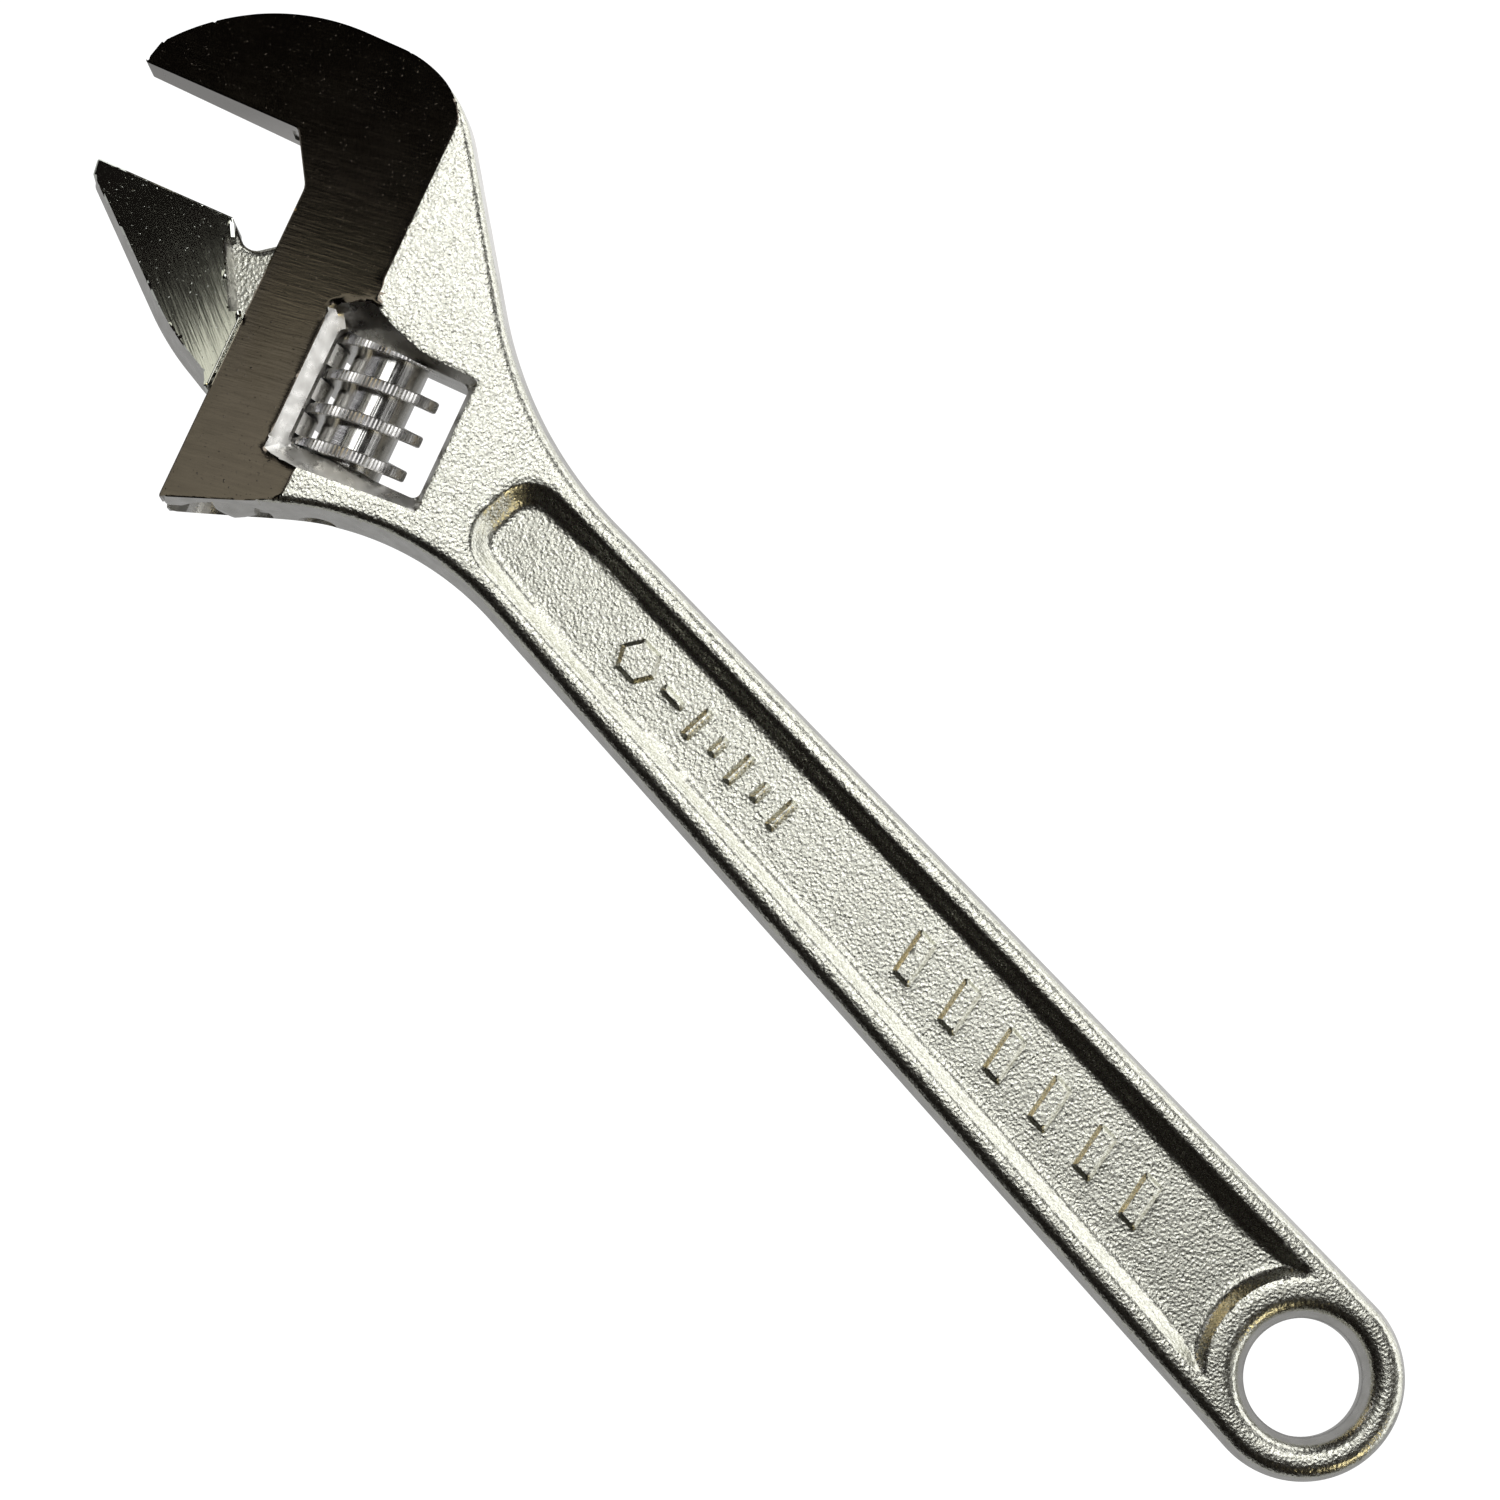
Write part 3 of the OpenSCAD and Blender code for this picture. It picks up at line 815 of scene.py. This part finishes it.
class Shader:
    """A metal material with short calls for the nodes that drive it."""

    def __init__(self, name):
        self.material = bpy.data.materials.new(name)
        self.material.use_nodes = True
        self.tree = self.material.node_tree
        self.tree.nodes.clear()
        output = self.add("ShaderNodeOutputMaterial")
        self.bsdf = self.add("ShaderNodeBsdfPrincipled")
        self.link(self.bsdf.outputs[0], output.inputs[0])
        self.bsdf.inputs["Metallic"].default_value = 1.0
        self.place = self.add("ShaderNodeTexCoord").outputs["Object"]

    def add(self, kind, **settings):
        node = self.tree.nodes.new(kind)
        for key, value in settings.items():
            setattr(node, key, value)
        return node

    def link(self, a, b):
        self.tree.links.new(a, b)

    def drawn_out(self, turn, stretch):
        """Coordinates turned about Z and then divided, so a texture runs in lines along turn."""
        node = self.add("ShaderNodeMapping", vector_type="TEXTURE")
        self.link(self.place, node.inputs["Vector"])
        node.inputs["Rotation"].default_value = (0, 0, turn)
        node.inputs["Scale"].default_value = stretch
        return node.outputs[0]

    def noise(self, scale, detail=2.0, rough=0.5, place=None):
        node = self.add("ShaderNodeTexNoise")
        self.link(place or self.place, node.inputs["Vector"])
        node.inputs["Scale"].default_value = scale
        node.inputs["Detail"].default_value = detail
        node.inputs["Roughness"].default_value = rough
        return node.outputs["Fac"]

    def cells(self, scale):
        node = self.add("ShaderNodeTexVoronoi", feature="SMOOTH_F1")
        self.link(self.place, node.inputs["Vector"])
        node.inputs["Scale"].default_value = scale
        node.inputs["Smoothness"].default_value = 0.4
        return node.outputs["Distance"]

    def ramp(self, value, *stops):
        node = self.add("ShaderNodeValToRGB")
        self.link(value, node.inputs[0])
        elements = node.color_ramp.elements
        while len(elements) < len(stops):
            elements.new(0.5)
        for element, (position, colour) in zip(elements, stops):
            element.position = position
            if not hasattr(colour, "__len__"):
                colour = (colour,) * 3
            element.color = (*colour, 1)
        return node.outputs[0]

    def mix(self, a, b, share):
        node = self.add("ShaderNodeMix", data_type="FLOAT")
        node.inputs[0].default_value = share
        self.link(a, node.inputs[2])
        self.link(b, node.inputs[3])
        return node.outputs[0]

    def bump(self, height, distance, before=None):
        node = self.add("ShaderNodeBump")
        node.inputs["Strength"].default_value = 1.0
        node.inputs["Distance"].default_value = distance
        self.link(height, node.inputs["Height"])
        if before is not None:
            self.link(before, node.inputs["Normal"])
        return node.outputs[0]

    def drive(self, **sockets):
        for name, value in sockets.items():
            self.link(value, self.bsdf.inputs[name.replace("_", " ")])
        return self.material


def forged_chrome():
    """Chrome over a shot-blasted forging: grains of about 0.4 mm that glitter."""
    s = Shader("forged_chrome")
    grain = s.mix(s.noise(3000, 2, 0.6), s.cells(2600), 0.45)
    waves = s.noise(420, 1)
    normal = s.bump(waves, 0.00002)
    normal = s.bump(grain, 0.00007, normal)
    colour = s.ramp(s.noise(4000, 3, 0.7), (0.3, (0.52, 0.51, 0.43)), (0.5, (0.76, 0.76, 0.67)),
                    (0.7, (0.92, 0.93, 0.86)))
    rough = s.ramp(s.noise(2600, 2), (0.3, 0.22), (0.7, 0.32))
    return s.drive(Base_Color=colour, Roughness=rough, Normal=normal)


def ground_steel(name, turn, tint, line_scale, depth, rough_low):
    """Ground and polished face: fine parallel grinding lines and a few tiny pits."""
    s = Shader(name)
    across = s.drawn_out(turn, (40, 1, 1))
    lines = s.noise(line_scale, 2, 0.6, across)
    wide = s.noise(line_scale / 3, 3, 0.6, across)
    pits = s.ramp(s.noise(3300, 1, 0.4), (0.72, 0.0), (0.8, 1.0))
    normal = s.bump(lines, depth)
    normal = s.bump(wide, 1.5 * depth, normal)
    normal = s.bump(pits, 0.00001, normal)
    colour = s.ramp(wide, (0.3, [0.85 * c for c in tint]), (0.7, tint))
    rough = s.ramp(s.noise(260, 3, 0.6), (0.3, rough_low), (0.7, 1.25 * rough_low))
    return s.drive(Base_Color=colour, Roughness=rough, Normal=normal)


def smooth_wall():
    """Trimmed side walls: satin chrome with faint mottling."""
    s = Shader("smooth_wall")
    normal = s.bump(s.noise(700, 2), 0.000015)
    normal = s.bump(s.noise(3600, 2), 0.000012, normal)
    colour = s.ramp(s.noise(500, 2), (0.3, (0.66, 0.65, 0.62)), (0.7, (0.80, 0.79, 0.76)))
    rough = s.ramp(s.noise(800, 2), (0.3, 0.24), (0.7, 0.36))
    return s.drive(Base_Color=colour, Roughness=rough, Normal=normal)


def turned_chrome(name, rough_low, tint):
    """Bright turned surface: fine rings round the worm's axis and faint lines along it."""
    s = Shader(name)
    rings = s.drawn_out(JAW_ANGLE, (30, 1, 30))
    lines = s.drawn_out(JAW_ANGLE, (1, 30, 1))
    normal = s.bump(s.noise(4200, 2, 0.6, rings), 0.000006)
    normal = s.bump(s.noise(1500, 2, 0.6, lines), 0.00006, normal)
    colour = s.ramp(s.noise(900, 2), (0.3, [0.86 * c for c in tint]), (0.7, tint))
    rough = s.ramp(s.noise(1200, 2), (0.3, rough_low), (0.7, rough_low + 0.1))
    return s.drive(Base_Color=colour, Roughness=rough, Normal=normal)


# ---------------------------------------------------------------- camera, floor and lights

CAMERA_EYE, CAMERA_TARGET = (47, 39, 630), (90.884, -2.215, 5.0)
CAMERA_ROLL_DEG, CAMERA_ANGLE_DEG = 227.369, 14.873
# Brightness of the floor to the camera, and in reflections on either side of a band in y (metres);
# the duller +Y side is painted shade
FLOOR_SEEN, FLOOR_BRIGHT, FLOOR_PAINTED_SHADE = 1.1, 0.95, 0.36
FLOOR_BAND = (-0.024, -0.008)


def make_camera():
    eye, target = Vector(CAMERA_EYE) * MM, Vector(CAMERA_TARGET) * MM
    roll = math.radians(CAMERA_ROLL_DEG)
    ahead = (target - eye).normalized()
    right0 = ahead.cross(Vector((0, 1, 0))).normalized()
    up0 = right0.cross(ahead)
    right = right0 * math.cos(roll) + up0 * math.sin(roll)
    up = up0 * math.cos(roll) - right0 * math.sin(roll)
    data = bpy.data.cameras.new("camera")
    data.sensor_width = data.sensor_height = 36
    data.angle = math.radians(CAMERA_ANGLE_DEG)
    data.clip_start = 0.01
    cam = bpy.data.objects.new("camera", data)
    cam.matrix_world = Matrix(((*right,), (*up,), (*-ahead,))).transposed().to_4x4()
    cam.location = eye
    bpy.context.scene.collection.objects.link(cam)
    bpy.context.scene.camera = cam


def camera_switch(tree, seen, lit):
    """Shader that shows one thing to the camera and lights the pieces with another."""
    mix = tree.nodes.new("ShaderNodeMixShader")
    path = tree.nodes.new("ShaderNodeLightPath")
    tree.links.new(path.outputs["Is Camera Ray"], mix.inputs[0])
    tree.links.new(lit.outputs[0], mix.inputs[1])
    tree.links.new(seen.outputs[0], mix.inputs[2])
    return mix.outputs[0]


def make_floor():
    """Plain floor, overexposed in the view; in reflections it is pale on the -Y side and duller on
    the +Y side, painted shade that keeps the walls that face that way darker."""
    size, z = 3000, BODY_LOW.z - 0.1
    floor = make_mesh("floor", [(-size, -size, z), (size, -size, z), (size, size, z),
                                (-size, size, z)], [(0, 1, 2, 3)])
    material = bpy.data.materials.new("pale_floor_painted_shade")
    material.use_nodes = True
    tree = material.node_tree
    tree.nodes.clear()
    white, pale = tree.nodes.new("ShaderNodeEmission"), tree.nodes.new("ShaderNodeEmission")
    white.inputs["Strength"].default_value = FLOOR_SEEN
    place = tree.nodes.new("ShaderNodeTexCoord")
    split = tree.nodes.new("ShaderNodeSeparateXYZ")
    # painted shade: in reflections the floor's glow falls from bright to dull across the band in y
    across = tree.nodes.new("ShaderNodeMapRange")
    tree.links.new(place.outputs["Object"], split.inputs[0])
    tree.links.new(split.outputs["Y"], across.inputs["Value"])
    for socket, value in (("From Min", FLOOR_BAND[0]), ("From Max", FLOOR_BAND[1]),
                          ("To Min", FLOOR_BRIGHT), ("To Max", FLOOR_PAINTED_SHADE)):
        across.inputs[socket].default_value = value
    tree.links.new(across.outputs[0], pale.inputs["Strength"])
    output = tree.nodes.new("ShaderNodeOutputMaterial")
    tree.links.new(camera_switch(tree, white, pale), output.inputs[0])
    floor.data.materials.append(material)


def area_light(name, place, target, size, radiance, colour):
    """Rectangular light of a given radiance, aimed at a point."""
    data = bpy.data.lights.new(name, "AREA")
    data.shape = "RECTANGLE"
    data.size, data.size_y = size
    data.energy = radiance * math.pi * size[0] * size[1]
    data.color = colour
    light = bpy.data.objects.new(name, data)
    light.location = place
    light.rotation_euler = (Vector(target) - Vector(place)).to_track_quat("-Z", "Y").to_euler()
    light.visible_camera = False
    bpy.context.scene.collection.objects.link(light)


def make_lights():
    centre, white = (0.09, 0, 0), (1, 1, 1)
    for light in (
            ("overhead", (0.15, -0.30, 0.85), (0.15, -0.30, 0), (0.30, 0.56), 2.4, white),
            ("fill", (0.413, 0.067, 0.85), (0.413, 0.067, 0), (0.13, 0.13), 0.75, (1, 0.98, 0.86)),
            ("mid", (-0.45, -0.25, 0.45), centre, (0.25, 0.12), 0.9, white),
            ("low", (-0.52, -0.37, 0.13), centre, (0.6, 0.26), 1.5, white),
            ("glow", (1.0, 0.10, 0.26), centre, (0.3, 0.26), 1.1, (1, 0.8, 0.45)),
            ("strip", (0.72, 0.22, 0.50), centre, (0.06, 0.4), 2.0, (0.95, 0.95, 1)),
            ("side", (0.10, -0.80, 0.28), centre, (1.2, 0.45), 1.6, white),
            ("warm", (-0.50, 0.05, 0.35), centre, (0.15, 0.2), 3.0, (1, 0.85, 0.5))):
        area_light(*light)
    world = bpy.data.worlds.new("studio")
    bpy.context.scene.world = world
    world.use_nodes = True
    tree = world.node_tree
    tree.nodes.clear()
    dark, pale = tree.nodes.new("ShaderNodeBackground"), tree.nodes.new("ShaderNodeBackground")
    dark.inputs["Color"].default_value = (0.006, 0.005, 0.0045, 1)
    pale.inputs["Color"].default_value = (0.95, 0.95, 0.95, 1)
    output = tree.nodes.new("ShaderNodeOutputWorld")
    tree.links.new(camera_switch(tree, pale, dark), output.inputs[0])
    bpy.context.scene.view_settings.view_transform = "Standard"


# ---------------------------------------------------------------- the scene

forged = forged_chrome()
wall = smooth_wall()
# The body's ground face is the same ground steel as the jaw's face, with a far darker tint:
# painted shade for the dark room it reflects
ground = ground_steel("ground_face_painted_dark", math.radians(30), (0.19, 0.165, 0.135), 4200, 0.000003, 0.10)
jaw_ground = ground_steel("jaw_face", math.radians(-20), (0.95, 0.98, 0.90), 2600, 0.000004, 0.055)
turned = turned_chrome("turned_chrome", 0.16, (0.92, 0.91, 0.88))
crest = turned_chrome("worm_crest", 0.24, (0.90, 0.89, 0.87))
steel = turned_chrome("pin_steel", 0.25, (0.50, 0.49, 0.47))

finish_piece(body_piece(), "body", ["body"], [forged, ground, wall])
finish_piece(jaw_piece(), "movable_jaw", ["movable_jaw"], [forged, jaw_ground, wall])
finish_piece(worm_piece(), "worm", ["worm"], [turned, crest])
for node in ("worm_pin", "worm_spring"):
    cad = frame["nodes"][node]
    cad.data.materials.clear()
    cad.data.materials.append(steel)

make_camera()
make_floor()
make_lights()
